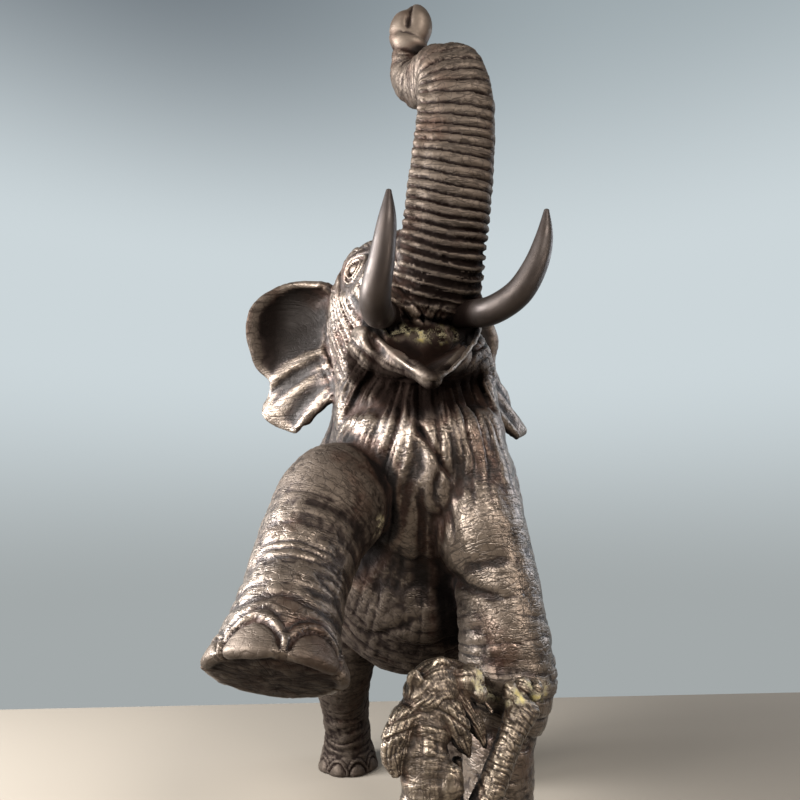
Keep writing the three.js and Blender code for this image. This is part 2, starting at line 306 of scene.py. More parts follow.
def softened(values, triangles, rounds):
    """Values averaged with their neighbours' again and again."""
    edges = np.concatenate([triangles[:, [0, 1]], triangles[:, [1, 2]], triangles[:, [2, 0]]])
    count = np.bincount(edges[:, 0], minlength=len(values)).astype(float)
    count = np.maximum(count, 1)
    flat = values.reshape(len(values), -1)
    for _ in range(rounds):
        near = np.stack([np.bincount(edges[:, 0], flat[edges[:, 1], k], len(flat))
                         for k in range(flat.shape[1])], 1) / count[:, None]
        flat = (flat + near) / 2
    return flat.reshape(values.shape)


# ---- wear, and shelter for painted shade

ELEPHANT_RESIDUE = [
    ((-28, -114, 434), 7), ((-17, -111, 436), 9), ((-4, -112, 434), 10), ((9, -109, 436), 9),
    ((24, -104, 436), 8), ((42, -92, 438), 6),
    ((-36, -132, 288), 10), ((-34, -128, 268), 8), ((8, -148, 306), 6), ((52, -158, 172), 12),
    ((36, -156, 178), 8), ((68, -150, 182), 10),
]
TIGER_RESIDUE = [
    ((25, -182, 194), 9), ((28, -180, 188), 6), ((48, -174, 184), 9), ((58, -170, 186), 9),
    ((64, -162, 178), 8),
]


def closed_in(points, facing, triangles, voxel):
    """How sheltered each point is: 0 in the open, 1 deep in a hollow.

    Steps are taken outwards along the normal. Over open ground the surface
    falls behind as fast as one goes; what is missing from that is shelter.
    """
    grown = SHELTER_REACH + 2
    grid = level_set(voxel, SHELTER_REACH, points, triangles)
    low = np.floor(points.min(0) / voxel).astype(int) - grown
    size = np.ceil(points.max(0) / voxel).astype(int) + grown - low
    field = np.full(size, SHELTER_REACH * voxel, np.float32)
    grid.copyToArray(field, ijk=tuple(int(v) for v in low))
    total = np.zeros(len(points))
    for steps, weight in SHELTER_STEPS:
        q = (points + facing * steps * voxel) / voxel - low
        q = np.clip(q, 0, size - 1.001)
        whole = q.astype(int)
        gap = blended(whole, q - whole, lambda i, j, k: field[i, j, k])
        total += weight * np.clip(1 - gap / (steps * voxel), 0, 1)
    return total


def set_marks(mesh, marks):
    """Stores numbers or vectors on the points of a mesh under their names."""
    for name, values in marks.items():
        vector = values.ndim == 2
        layer = mesh.attributes.new(name, "FLOAT_VECTOR" if vector else "FLOAT", "POINT")
        layer.data.foreach_set("vector" if vector else "value", values.astype(np.float32).ravel())


def mark_wear_and_shade(piece, residue, rounds, deep, voxel):
    """Records on each point its hollow and residue, and its shelter, which the material paints as shade.

    `hollow` is how far the point lies below its neighbours' average, in
    units of `deep` mm: +1 in a crease, -1 on a crest.
    """
    mesh = piece.data
    points = np.empty(len(mesh.vertices) * 3, np.float32)
    mesh.vertices.foreach_get("co", points)
    points = points.reshape(-1, 3) / MM - GROUP_SHIFT
    triangles = np.empty(len(mesh.loops), np.int32)
    mesh.loops.foreach_get("vertex_index", triangles)
    triangles = triangles.reshape(-1, 3)
    facing = normals(points, triangles)
    small = ((softened(points, triangles, rounds) - points) * facing).sum(1) / deep
    broad = ((softened(points, triangles, rounds * 8) - points) * facing).sum(1) / (deep * 4)
    hollow = np.clip(0.6 * small + 0.6 * broad, -1, 1)
    shelter = closed_in(points, unit(softened(facing, triangles, 6)), triangles, voxel)
    crust = np.zeros(len(points))
    for at, reach in residue:
        gap = np.linalg.norm(points - np.array(at, float), axis=1)
        crust = np.maximum(crust, ramp(reach, reach * 0.4, gap + 3 * noise(points, 6, 301)))
    set_marks(mesh, {"hollow": hollow, "shelter": shelter, "residue": crust})


def grain_of(places, limbs):
    """The nearest limb's own coordinates in mm, so that fine lines can run round it."""
    nearest, grain = None, None
    for name, (along, angle, radii) in places.items():
        size = (limbs[name].wide.mean() + limbs[name].deep.mean()) / 2
        flat = np.stack([along, size * np.cos(angle), size * np.sin(angle)], 1)
        if nearest is None:
            nearest, grain = radii.copy(), flat
            continue
        closer = radii < nearest
        nearest[closer] = radii[closer]
        grain[closer] = flat[closer]
    return grain


# ---- elephant stations

TORSO = [
    [0, -76, 318, 50, 58], [0, -60, 313, 74, 90], [0, -32, 303, 92, 121], [0, 14, 292, 101, 138],
    [0, 80, 286, 104, 140], [0, 145, 290, 98, 130], [0, 200, 296, 84, 114], [0, 240, 300, 58, 84],
]
NECK = [[0, -36, 345, 76, 78], [-4, -50, 400, 69, 64], [-12, -44, 445, 62, 54]]
NAPE = [[0, 95, 362, 70, 60], [-2, 45, 388, 72, 60], [-10, 5, 420, 66, 58], [-20, -20, 448, 58, 52]]
CHEST = [
    [-4, -66, 412, 52, 44], [-2, -86, 370, 58, 50], [0, -92, 332, 54, 42],
    [0, -76, 296, 46, 34], [0, -56, 270, 38, 28],
]
SKULL = [
    [-24, -2, 452, 56, 48], [-18, -28, 468, 60, 56], [-12, -55, 481, 58, 54],
    [-5, -80, 481, 51, 46], [5, -90, 474, 40, 34],
]
RIGHT_BROW, LEFT_BROW, BROW_RADIUS = (-46, -70, 500), (26, -42, 500), 18
TRUNK = [
    [8, -78, 455, 36, 26], [12, -105, 489, 33, 33], [16, -124, 535, 32, 33], [20, -136, 580, 30, 31],
    [20, -142, 612, 28, 28], [14, -136, 638, 25, 24], [1, -112, 650, 20, 19], [-12, -98, 668, 15, 16],
    [-12, -105, 691, 14.5, 14], [-11, -109, 706, 13, 12.5],
]
JAW = [
    [-6, -60, 414, 52, 34], [-4, -100, 413, 48, 26], [-4, -132, 406, 32, 17],
    [-4, -157, 394, 16, 9], [-3, -170, 387, 8, 5],
]
LEFT_FORELEG = [
    [32, -72, 350, 36, 52], [41, -92, 300, 33, 48], [50, -110, 250, 31, 41], [54, -119, 210, 32, 38],
    [55, -121, 182, 34, 38], [52, -121, 163, 30, 33], [48, -120, 140, 26, 28], [46, -119, 90, 25, 27],
    [46, -119, 32, 27, 30], [46, -119, 0, 32, 36], [46, -119, -8, 32, 36],
]
RAISED_FORELEG = [
    [-58, -94, 310, 36, 38], [-70, -114, 304, 41, 44], [-83, -133, 281, 37, 40],
    [-91, -158, 255, 34, 35], [-95, -176, 237, 34, 35], [-98, -190, 221, 37, 38],
    [-100, -200, 205, 42, 42],
]
HIND_LEG = [
    [-46, 150, 300, 56, 84], [-56, 158, 210, 50, 68], [-66, 164, 130, 36, 44], [-64, 190, 80, 27, 32],
    [-60, 206, 38, 26, 31], [-59, 212, 0, 34, 37], [-59, 212, -8, 34, 37],
]
LEFT_STRIDE = 55
TAIL = [
    [0, 232, 350, 10, 10], [0, 256, 338, 8, 8], [2, 271, 298, 6, 6], [4, 276, 244, 5, 5],
    [5, 272, 194, 5, 5], [5, 268, 168, 7, 7], [5, 267, 142, 3, 3],
]
RIGHT_EAR_ROOT = [[-66, -42, 492], [-70, -40, 450], [-68, -54, 398]]
RIGHT_EAR_RIM = [
    [-88, -36, 500], [-120, -28, 500], [-148, -32, 479], [-152, -32, 447],
    [-137, -24, 415], [-133, -24, 388], [-112, -34, 360], [-88, -48, 384],
]
LEFT_EAR_ROOT = [[34, -28, 490], [42, -34, 450], [46, -46, 400]]
LEFT_EAR_RIM = [
    [52, -14, 496], [72, 14, 490], [86, 28, 468], [84, 34, 440],
    [94, 30, 410], [104, 20, 382], [104, 8, 360], [78, -16, 378],
]
EAR_THICKNESS = 6.6
RIGHT_TUSK = [
    [-30, -106, 452, 11, 11], [-34, -128, 446, 11, 11], [-40, -150, 441, 11.5, 11.5],
    [-42, -170, 448, 11, 11], [-38, -182, 470, 9, 9], [-35, -188, 494, 6.5, 6.5],
    [-34, -190, 514, 2, 2],
]
LEFT_TUSK = [
    [25, -98, 455, 11, 11], [34, -118, 450, 11, 11], [47, -140, 447, 11, 11],
    [63, -154, 456, 10.5, 10.5], [74, -162, 474, 9, 9], [80, -166, 494, 6.5, 6.5],
    [82, -168, 514, 2, 2],
]


def other_hind_leg():
    """The right hind leg on the other side, its foot further forward by the stride."""
    rows = []
    for x, y, z, wide, deep in HIND_LEG:
        share = 1 - min(max(z, 0) / HIND_LEG[0][2], 1)
        rows.append([-x, y - LEFT_STRIDE * share, z, wide, deep])
    return rows


def ear(root, rim):
    """A thin sheet between the root line on the head and the rim, closed round its edge.

    The upper lobe is a bowl open to the front with its rim rolled forwards.
    Lower down, pleats run out from the root and the edge hangs in points.
    """
    across, down = 44, 110
    u, v = np.meshgrid(np.linspace(0, 1, across), np.linspace(0, 1, down), indexing="ij")
    inner, outer = track(root, 60), track(rim, 30)

    def pick(line, share):
        """The points that lie at these shares of the way along a line."""
        spot = share * (len(line) - 1)
        i = np.minimum(spot.astype(int), len(line) - 2)
        t = (spot - i)[..., None]
        return line[i] * (1 - t) + line[i + 1] * t

    def facing(sheet):
        """Unit normals: the cross product of the grid's two directions, turned to the front."""
        face = np.cross(np.gradient(sheet, axis=0), np.gradient(sheet, axis=1))
        return unit(face * -np.sign(face[..., 1].mean()))

    pointed = 0.08 * np.sin(v * 27 + 0.6) * ramp(0.42, 0.6, v)
    middle = pick(inner, v) + (pick(outer, v) - pick(inner, v)) * (u * (1 + pointed))[..., None]
    face = facing(middle)
    bowl = 20 * np.sin(math.pi * u) ** 1.15 * np.sin(math.pi * np.clip(v / 0.56, 0, 1))
    pleat = 4.2 * (1 - np.abs(np.sin(v * 22 - 0.8 * u))) * ramp(0.44, 0.6, v) * ramp(0.02, 0.5, u)
    veins = 0.7 * np.sin(v * 70 + 6 * np.sin(3 * u)) * ramp(0.45, 0.7, v)
    roll = 3 * ramp(0.8, 1, u) * ramp(0.6, 0.3, v)
    raised = face * (pleat + veins + roll)[..., None]
    middle = middle + raised - unit(face.mean((0, 1))) * bowl[..., None]
    half = EAR_THICKNESS * (0.45 + 0.15 * (1 - u) ** 2) * (1 - 0.4 * ramp(0.9, 1, u))
    half = half * (1 + 0.5 * ramp(0.88, 0.95, u) * ramp(1, 0.95, u) * ramp(0.6, 0.4, v))
    face = facing(middle)
    front, back = middle + face * half[..., None], middle - face * half[..., None]
    points = np.concatenate([front, back[:, ::-1]], 1)
    body, quads, fans = tube(points, [points[0].mean(0), points[-1].mean(0)])
    # The rim is a loop bent round the ear, so it is zipped shut across itself.
    near = len(body) - 2 - 2 * down + np.arange(down - 1)
    far = len(body) - 3 - np.arange(down - 1)
    quads = np.concatenate([quads, np.stack([near, near + 1, far - 1, far], 1)])
    body, fans = body[:-1], fans[:2 * down]
    a, b, c = (body[quads[:, k]] for k in range(3))
    if (np.cross(a, b) * c).sum() < 0:
        quads, fans = quads[:, ::-1], fans[:, ::-1]
    return body, quads, fans


# ---- elephant clay

LIMBS = {
    "torso": Limb(TORSO),
    "neck": Limb(NECK),
    "nape": Limb(NAPE),
    "chest": Limb(CHEST),
    "skull": Limb(SKULL, side=HEAD_LEFT),
    "trunk": Limb(TRUNK, side=TRUNK_LEFT, domes=(0.5, 0.9), square=3.0),
    "jaw": Limb(JAW, side=HEAD_LEFT),
    "left_foreleg": Limb(LEFT_FORELEG, domes=(0.6, 0)),
    "raised_foreleg": Limb(RAISED_FORELEG, domes=(0.6, 0.08)),
    "right_hind_leg": Limb(HIND_LEG, domes=(0.6, 0)),
    "left_hind_leg": Limb(other_hind_leg(), domes=(0.6, 0)),
    "tail": Limb(TAIL),
}
SKIN_LOBES = [
    ((-1, -124, 342), (25, 17, 34), (0.15, 0, -1)),
    ((7, -126, 314), (13, 10, 18), (0.15, 0.1, -1)),
    ((28, -118, 344), (20, 17, 38), (0.5, 0.05, -1)),
    ((-34, -108, 352), (20, 18, 34), (-0.35, 0, -1)),
    ((-44, -98, 420), (17, 26, 22), (0.1, -0.6, -1)),
    ((36, -82, 420), (18, 24, 24), (-0.1, -0.5, -1)),
    ((-21, -109, 704), (8, 9, 12), (0.35, -0.1, 1)),
    ((-4, -112, 707), (10, 9.5, 16), (-0.3, 0, 1)),
    ((40, -112, 284), (33, 38, 44), (0.1, -0.1, -1)),
    ((-34, -113, 455), (15, 14, 18), (-0.15, -0.8, -0.3)),
    ((33, -102, 458), (15, 14, 18), (0.35, -0.8, -0.2)),
]
LIP_ROLL = Limb([
    [-41, -110, 434, 2.2, 2.2], [-38, -122, 427, 1.8, 1.8], [-22, -157, 402, 1.6, 1.6],
    [-10, -172, 391, 1.7, 1.7], [-3, -177, 387, 1.9, 1.9], [5, -172, 391, 1.7, 1.7],
    [18, -153, 403, 1.6, 1.6], [36, -120, 427, 1.8, 1.8], [46, -92, 446, 2.2, 2.2],
], side=UPRIGHT)
MOUTH_CORNERS = [(-39, -118, 430), (-3, -177, 387), (43, -96, 441)]
MOUTH_FLOOR = (-3, -116, 409)
THROAT_GROOVE = Limb([
    [-64, -82, 382, 9, 9], [-50, -106, 385, 13, 12], [-26, -134, 384, 13, 16], [2, -146, 381, 13, 17],
    [26, -130, 384, 13, 14], [46, -96, 390, 10, 9],
], side=UPRIGHT)
JOINTS = {"trunk": 14, "jaw": 8, "tail": 8, "raised_foreleg": 5, "left_foreleg": 8, "chest": 10}
JOINT = 16  # mm of fillet where a limb is not named above


def mouth():
    """A scoop between the lips: two smooth planes falling to a groove down the middle."""
    right, tip, left = (np.array(p, float) for p in MOUTH_CORNERS)
    floor = np.array(MOUTH_FLOOR, float)
    chin = tip + (floor - tip) * 0.3 + np.array([0, 0, -2.0])
    rise = np.array([0.0, 1, 17])
    roof = [right + rise, tip + rise, left + rise, floor + 2 * rise]
    points = np.array([right, chin, tip, left, floor, *roof])
    quads = np.array([[0, 2, 6, 5], [2, 3, 7, 6], [3, 4, 8, 7], [4, 0, 5, 8]])
    fans = np.array([[0, 4, 1], [4, 3, 1], [0, 1, 2], [1, 3, 2], [5, 6, 7], [5, 7, 8]])
    return points, quads, fans


def elephant_clay():
    """Limbs joined with fillets, ears and lobes laid on, throat and mouth hollowed, soles cut flat."""
    clay = Clay([-165, -250, -2], [120, 290, 730], ELEPHANT_VOXEL)
    for name, limb in LIMBS.items():
        clay.add(limb.body(), JOINTS.get(name, JOINT))
    for at in (RIGHT_BROW, LEFT_BROW):
        clay.add(egg(at, [BROW_RADIUS] * 3), 8)
    clay.add(ear(RIGHT_EAR_ROOT, RIGHT_EAR_RIM), 4)
    clay.add(ear(LEFT_EAR_ROOT, LEFT_EAR_RIM), 4)
    for at, radii, ahead in SKIN_LOBES:
        clay.add(egg(at, radii, ahead), 5)
    clay.cut(THROAT_GROOVE.body(32), 14)
    clay.cut(mouth(), 2)
    clay.add(LIP_ROLL.body(24), 3)
    clay.level_off()
    return clay


def placed(name, data):
    """A new object with this data, in the scene."""
    made = bpy.data.objects.new(name, data)
    bpy.context.scene.collection.objects.link(made)
    return made


def finish_mesh(name, points, triangles, marks, spare=None):
    """A Blender mesh object of the points, thinned to PIECE_TRIANGLES.

    `spare` says how readily each point may go: 1 freely, 0 never.
    """
    mesh = bpy.data.meshes.new(name)
    mesh.vertices.add(len(points))
    mesh.vertices.foreach_set("co", ((points + GROUP_SHIFT) * MM).astype(np.float32).ravel())
    mesh.loops.add(triangles.size)
    mesh.loops.foreach_set("vertex_index", triangles.astype(np.int32).ravel())
    mesh.polygons.add(len(triangles))
    mesh.polygons.foreach_set("loop_start", np.arange(0, triangles.size, 3, dtype=np.int32))
    mesh.update(calc_edges=True)
    set_marks(mesh, marks)
    piece = placed(name, mesh)
    if len(triangles) > PIECE_TRIANGLES:
        thin = piece.modifiers.new("thin", "DECIMATE")
        thin.ratio = PIECE_TRIANGLES / len(triangles)
        if spare is not None:
            group = piece.vertex_groups.new(name="spare")
            levels = np.round(spare * 20).astype(int)
            for level in np.unique(levels):
                group.add(np.nonzero(levels == level)[0].tolist(), level / 20, "REPLACE")
            thin.vertex_group = "spare"
            thin.vertex_group_factor = 0.0002
        graph = bpy.context.evaluated_depsgraph_get()
        thinned = bpy.data.meshes.new_from_object(piece.evaluated_get(graph))
        piece.modifiers.clear()
        piece.data = thinned
        bpy.data.meshes.remove(mesh)
        thinned.name = name
    piece.data.polygons.foreach_set("use_smooth", np.ones(len(piece.data.polygons), bool))
    return piece


# ---- elephant relief

HEAD_AT = np.array([-5.0, -80, 481])
EYE_FRONT, EYE_UP = -11, 15
LIP = Limb([
    [-58, -78, 500, 1, 1], [-54, -88, 470, 1, 1], [-46, -104, 440, 1, 1], [-38, -122, 425, 1, 1],
    [-22, -158, 400, 1, 1], [-3, -178, 382, 1, 1], [18, -154, 402, 1, 1], [38, -118, 428, 1, 1],
    [48, -84, 450, 1, 1],
])
THROAT = np.array([2.0, -112, 452])
SHOULDER_TOP = np.array([-56.0, -140, 322])
DEWLAP_EDGE = [(-12.0, 364.0), (16.0, 318.0)]
RING_PITCH, RING_HEIGHT = 7.0, 2.4
TRUNK_BEADS = ((-139, 3.0), (-41, 1.2))  # degrees round the trunk, height
FORE_NAILS = [(153, 17, 10), (106, 24, 15), (50, 26, 14), (2, 17, 11)]
HIND_NAILS = [(152, 18, 15), (112, 19, 17), (70, 19, 17), (28, 18, 15)]
NAIL_TOP = 20  # the skin's wrinkles begin above the nails, this far up the foot
LEG_SEEDS = {"right_hind_leg": 41, "left_hind_leg": 43, "left_foreleg": 45, "raised_foreleg": 47}


def folds(place, pitch, length, seed, size=34, lengthways=False, sway=None):
    """Ridges on a limb of `size` mm radius, their creases `pitch` mm apart and `length` mm long.

    They run round the limb, or along it when `lengthways`.
    """
    along, angle, _ = place
    x, y = size * np.cos(angle), size * np.sin(angle)
    near, far = (length, pitch) if lengthways else (pitch, length)
    q = np.stack([along / near, x / far, y / far], 1)
    if sway is not None:
        q = q + 0.3 * sway[:, None]
    return ridges(q, seed)


def owners(points, limbs):
    """Each point's place on every limb, and the share of the point that each limb owns."""
    places = {name: limb.place(points) for name, limb in limbs.items()}
    nearness = {name: np.exp(-12 * np.clip(place[2] - 1, -0.5, 3)) for name, place in places.items()}
    whole = sum(nearness.values())
    return places, {name: value / whole for name, value in nearness.items()}


def nail_relief(angle, height, radii, nails):
    """Domed toenails: each a half oval standing on the sole, in its rounded cuticle fold."""
    total = np.zeros(len(angle))
    degrees = np.degrees(angle)
    for centre, half, tall in nails:
        turn = (degrees - centre + 180) % 360 - 180
        oval = np.sqrt((turn / half) ** 2 + (np.clip(height, 0, None) / tall) ** 2)
        near = ramp(1.9, 1.5, oval)
        dome = 2.1 * np.sqrt(np.clip(1 - oval ** 2, 0, 1)) + 0.3 * ramp(1.0, 0.92, oval)
        edge = (1.3 * hump(1.22, 0.11, oval) - 2.1 * hump(1.03, 0.08, oval)
                - 1.0 * hump(1.42, 0.09, oval))
        total += (dome + edge) * near
    return total * ramp(0.8, 0.95, radii)


def trunk_relief(place):
    """Rings right round the trunk: thin ridges low down, broad bands with thin cracks higher up."""
    along, angle, _ = place
    across = 31 * np.cos(angle)
    drift = noise(np.stack([along / 16, across / 26, np.sin(angle)], 1), 1.0, 5)
    line = along + 0.1 * across - 0.0028 * across ** 2 + 0.9 * drift
    ring = np.floor(line / RING_PITCH)
    phase = line / RING_PITCH - ring
    patch = np.stack([ring * 7.3, 2.2 * np.cos(angle), 2.2 * np.sin(angle)], 1)
    strength = 0.85 + 0.25 * noise(patch, 1.0, 6)
    width = mix(0.12, 0.39, ramp(20, 120, along))
    ridge = ramp(width + 0.08, width - 0.04, np.abs(phase - 0.5))
    crown = 0.25 * (1 - np.abs(phase - 0.5) * 2)
    facing = mix(0.55, 1.0, ramp(-0.4, 0.5, -np.sin(angle)))
    fade = ramp(-6, 12, along) * ramp(238, 205, along)
    bead = 0
    for degrees, tall in TRUNK_BEADS:
        line = tall * hump(math.radians(degrees), 0.12, angle)
        bead = bead + line * ramp(6, 20, along) * ramp(200, 170, along)
    fine = 0.22 * noise(np.stack([along / 2.2, across / 9, np.sin(angle) * 3], 1), 1.0, 8)
    tip = ramp(-30, -22, along - LIMBS["trunk"].length[-1])
    wrinkled = 1.5 * folds(place, 4.0, 22, 31, size=15) * ramp(190, 215, along) * (1 - tip)
    rim = along + 3 * np.cos(angle) - LIMBS["trunk"].length[-1]
    lip = 1.6 * hump(-17, 4.5, rim) - 1.6 * hump(-24, 1.8, rim) - 0.9 * hump(-12, 1.2, rim)
    notch = 2.4 * hump(-0.12, 0.16, np.cos(angle)) * ramp(-10, -3, rim)
    lip = lip - notch * ramp(0.2, 0.6, -np.sin(angle))
    rings = fade * facing * strength * RING_HEIGHT * (ridge + crown - 0.5)
    return rings + bead * (0.35 + ridge) + fade * fine + wrinkled + lip


def eye_relief(points):
    """A round eyeball in a sunk socket with two lids and a few rings of skin about them."""
    off = points - HEAD_AT
    left, front, up = off @ HEAD_LEFT, off @ HEAD_FRONT, off[:, 2]
    f, u = (front - EYE_FRONT), (up - EYE_UP)
    across, upright = f * 0.94 + u * 0.34, -f * 0.34 + u * 0.94
    r = np.sqrt((across / 1.22) ** 2 + upright ** 2)
    ball = 2.4 * np.sqrt(np.clip(1 - (r / 4.6) ** 2, 0, 1))
    rings = (-2.4 * hump(5.3, 1.0, r) + 2.0 * hump(7.2, 1.2, r) - 1.7 * hump(9.3, 1.0, r)
             + 1.2 * hump(11.2, 1.2, r) - 1.0 * hump(13.2, 1.1, r))
    here = ramp(22, 34, np.abs(left)) * ramp(24, 16, r)
    return here * 1.25 * (ball + rings - 1.9 * hump(0, 11, r)), here


def fan_folds(points, seed):
    """Folds of hanging skin that spread downwards from the throat."""
    off = points - THROAT
    spread = np.arctan2(off[:, 0] - 0.12 * off[:, 2], -off[:, 2] + 30)
    far = np.sqrt(off[:, 0] ** 2 + off[:, 2] ** 2)
    sway = noise(points, 26, seed + 1)
    broad = np.stack([spread / 0.075 + 0.4 * sway, far / 110, off[:, 1] / 90], 1)
    fine = np.stack([spread / 0.03 + 0.6 * sway, far / 60, off[:, 1] / 60], 1)
    return 3.4 * ridges(broad, seed) + 2.0 * ridges(fine, seed + 2)


def elephant_relief(points):
    """How far each point of the smooth skin moves outwards, in mm."""
    places, share = owners(points, LIMBS)
    sway = noise(points, 24, 3)
    x, y, z = points.T

    root = hump(9, 26, x) ** 0.5 * ramp(-96, -108, y) * ramp(452, 460, z) * ramp(500, 480, z)
    ringed = np.maximum(share["trunk"], np.clip(root, 0, 1))
    rings = trunk_relief(places["trunk"])
    total = ringed * rings
    polish = share["trunk"] * ramp(-26, -20, places["trunk"][0] - LIMBS["trunk"].length[-1])
    low_down = ramp(120, 10, places["trunk"][0])
    # Trunk darkening: dark patina all over and in the ring valleys, and painted shade towards the root
    # between the tusks.
    grime_and_shade = ringed * (0.4 + 0.2 * low_down + 0.35 * ramp(-0.1, -1.3, rings)) * (1 - 0.2 * polish)
    ear_skin = np.maximum(ramp(-80, -92, x), ramp(58, 72, x)) * ramp(345, 362, z) * ramp(45, 30, y)

    body = share["torso"] + share["nape"] + share["neck"] * ramp(-60, -20, y)
    hide = (1.7 * folds(places["torso"], 17, 80, 11, size=110, sway=sway)
            + 0.8 * folds(places["torso"], 7, 40, 12, size=110, sway=sway)
            + 0.6 * folds(places["torso"], 9, 30, 13, size=110, lengthways=True))
    front = ramp(-62, -84, y) * ramp(246, 282, z) * ramp(448, 404, z)
    total += body * hide * (1 - 0.85 * front) * (1 - 0.85 * ear_skin)

    for name, seed in LEG_SEEDS.items():
        place = places[name]
        raised = name == "raised_foreleg"
        up_leg = -(place[0] - (LIMBS[name].length[-1] - (0 if raised else 8)))
        shoulder = ramp(150, 210, up_leg)
        knee = hump(175, 48, up_leg) if name == "left_foreleg" else 0.6 * hump(60, 30, up_leg)
        calm = 0.55 if raised else 1.0
        round_leg = (0.75 * calm + 1.6 * knee) * folds(place, 6.0, 46, seed, sway=sway)
        lines = 0.35 * folds(place, 7, 30, seed + 1, lengthways=True)
        broad = 0.6 * calm * folds(place, 17, 60, seed + 60, sway=sway)
        skin = ramp(NAIL_TOP + 2, NAIL_TOP + 14, up_leg)
        nails = nail_relief(place[1], up_leg, place[2], FORE_NAILS if raised else HIND_NAILS)
        above = (-1.4 * hump(NAIL_TOP + 7, 2.6, up_leg + 2 * sway)
                 - 0.9 * hump(NAIL_TOP + 15, 2.2, up_leg - 3 * sway))
        wrinkles = (round_leg + lines + broad) * skin * mix(1, 0.5, shoulder)
        total += share[name] * (wrinkles + nails + above)
        side_on = ramp(0.86, 0.94, place[2])
        nail = share[name] * ramp(0.6, 1.4, nails) * ramp(15, 12, up_leg)
        polish, grime_and_shade = np.maximum(polish, 0.4 * nail), np.maximum(grime_and_shade, 0.4 * nail)
        # Painted shade on the soles, the flat ends of the feet, including the raised foot's sole.
        grime_and_shade = np.maximum(grime_and_shade, 0.55 * share[name] * ramp(2.5, 0.5, up_leg) * (1 - side_on))

    knee_fold = hump(241, 4, z + 0.25 * (x - 50) + 3 * sway) * share["left_foreleg"] * ramp(60, 34, x)
    total -= 4.0 * knee_fold

    throat = front * (share["chest"] + share["neck"] + share["nape"] + 0.8 * share["torso"]
                      + 0.35 * share["left_foreleg"] * ramp(280, 320, z))
    total += throat * fan_folds(points, 61)
    start, run = np.array(DEWLAP_EDGE[0]), np.array(DEWLAP_EDGE[1]) - DEWLAP_EDGE[0]
    flat = points[:, [0, 2]] - start
    share_of = np.clip((flat @ run) / (run @ run), 0, 1)
    beside = ((flat - share_of[:, None] * run) @ np.array([-run[1], run[0]])) / np.linalg.norm(run)
    ends = ramp(0, 0.15, share_of) * ramp(1, 0.85, share_of)
    total += throat * ends * (2.0 * hump(-6, 4, beside) - 5.0 * hump(0, 2.2, beside))

    arc, _, gap = LIP.place(points)
    # Painted shade: a dark band under the jaw and jowls, where the chin overhangs the throat.
    level = z - 386 - 0.006 * (x + 2) ** 2 + 9 * noise(np.stack([x / 8, y / 60, z / 50], 1), 1.0, 64)
    jaw_shade = np.clip(1.6 * hump(0, 16, level), 0, 1) * ramp(68, 50, np.abs(x + 8)) * ramp(-80, -98, y)
    jaw_shade = jaw_shade * ramp(2.5, 6, gap)
    # Painted shade under the chest and belly, reaching down the hind legs below about 250 mm.
    under = ramp(272, 228, z) * ramp(-100, -74, y) * ramp(100, 84, np.abs(x))
    grime_and_shade = np.maximum(grime_and_shade, np.maximum(0.96 * jaw_shade, 0.62 * under))
    # Painted shade on the outer half of the right ear's upper lobe.
    grime_and_shade = np.maximum(grime_and_shade, 0.6 * ear_skin * ramp(-112, -134, x) * ramp(405, 430, z))
    # Painted shade on the raised foreleg round the top of its shoulder.
    shaded = ramp(70, 30, np.linalg.norm(points - SHOULDER_TOP, axis=1) + 12 * sway)
    grime_and_shade = np.maximum(grime_and_shade, 0.5 * shaded * share["raised_foreleg"])

    head = share["skull"] + share["jaw"] + share["neck"] * ramp(395, 415, z)
    flow = np.stack([gap / 7.0 + 0.3 * sway, arc / 150, gap * 0], 1)
    fine_flow = np.stack([gap / 3.0 + 0.35 * sway, arc / 80, gap * 0], 1)
    pleated = np.abs(np.sin(gap * 0.36 + 0.9 * sway + arc * 0.01))
    stream = (2.4 * ridges(flow, 71) + 1.5 * ridges(fine_flow, 72)
              + 3.2 * (np.minimum(pleated * 2, 1.1) - 0.8))
    outside = ramp(3.5, 7, gap) * ramp(85, 50, gap)
    eyes, near_eye = eye_relief(points)
    scoop = np.stack([points[:, 0] + 3, (points[:, 1] + 138) * 0.8, points[:, 2] - 428], 1)
    inner_mouth = ramp(36, 30, np.linalg.norm(scoop, axis=1)) * ramp(398, 404, z + 0.3 * (y + 170))
    inner_mouth = inner_mouth * ramp(448, 440, z)
    head = head * (1 - ringed)
    total += (head * stream * outside * (1 - near_eye) * (1 - inner_mouth)
              * ramp(-20, -50, y) * (1 - 0.9 * ear_skin))
    total += head * eyes

    grain = 0.32 * ridges(points / 4.2, 81)
    dents = 0.45 * noise(points, 9, 82)
    lips = 0.7 * hump(0, 2.6, gap) * ramp(-90, -110, y)
    polish = np.maximum(polish, np.maximum(inner_mouth * 0.8, lips))
    # Painted shade inside the mouth, darkest towards the back.
    grime_and_shade = np.maximum(grime_and_shade, inner_mouth * mix(0.45, 0.75, ramp(-130, -112, y)))
    total += (grain + dents) * (1 - polish) * (1 - near_eye) * (1 - 0.5 * ear_skin)

    tuft = share["tail"] * ramp(185, 150, z)
    total += tuft * 1.6 * folds(places["tail"], 3.2, 30, 91, size=8, lengthways=True)
    sole = ramp(1.5, 0.3, z)
    polish = np.maximum(polish, near_eye * 0.6)
    # grime_and_shade carries dark patina and grime on the trunk, nails and tusk roots, and painted shade
    # under the jaw and belly, on the ear, on the soles and in the mouth.
    marks = {"grain": grain_of(places, LIMBS), "polish": polish, "grime_and_shade": grime_and_shade}
    return total * (1 - sole), near_eye, marks


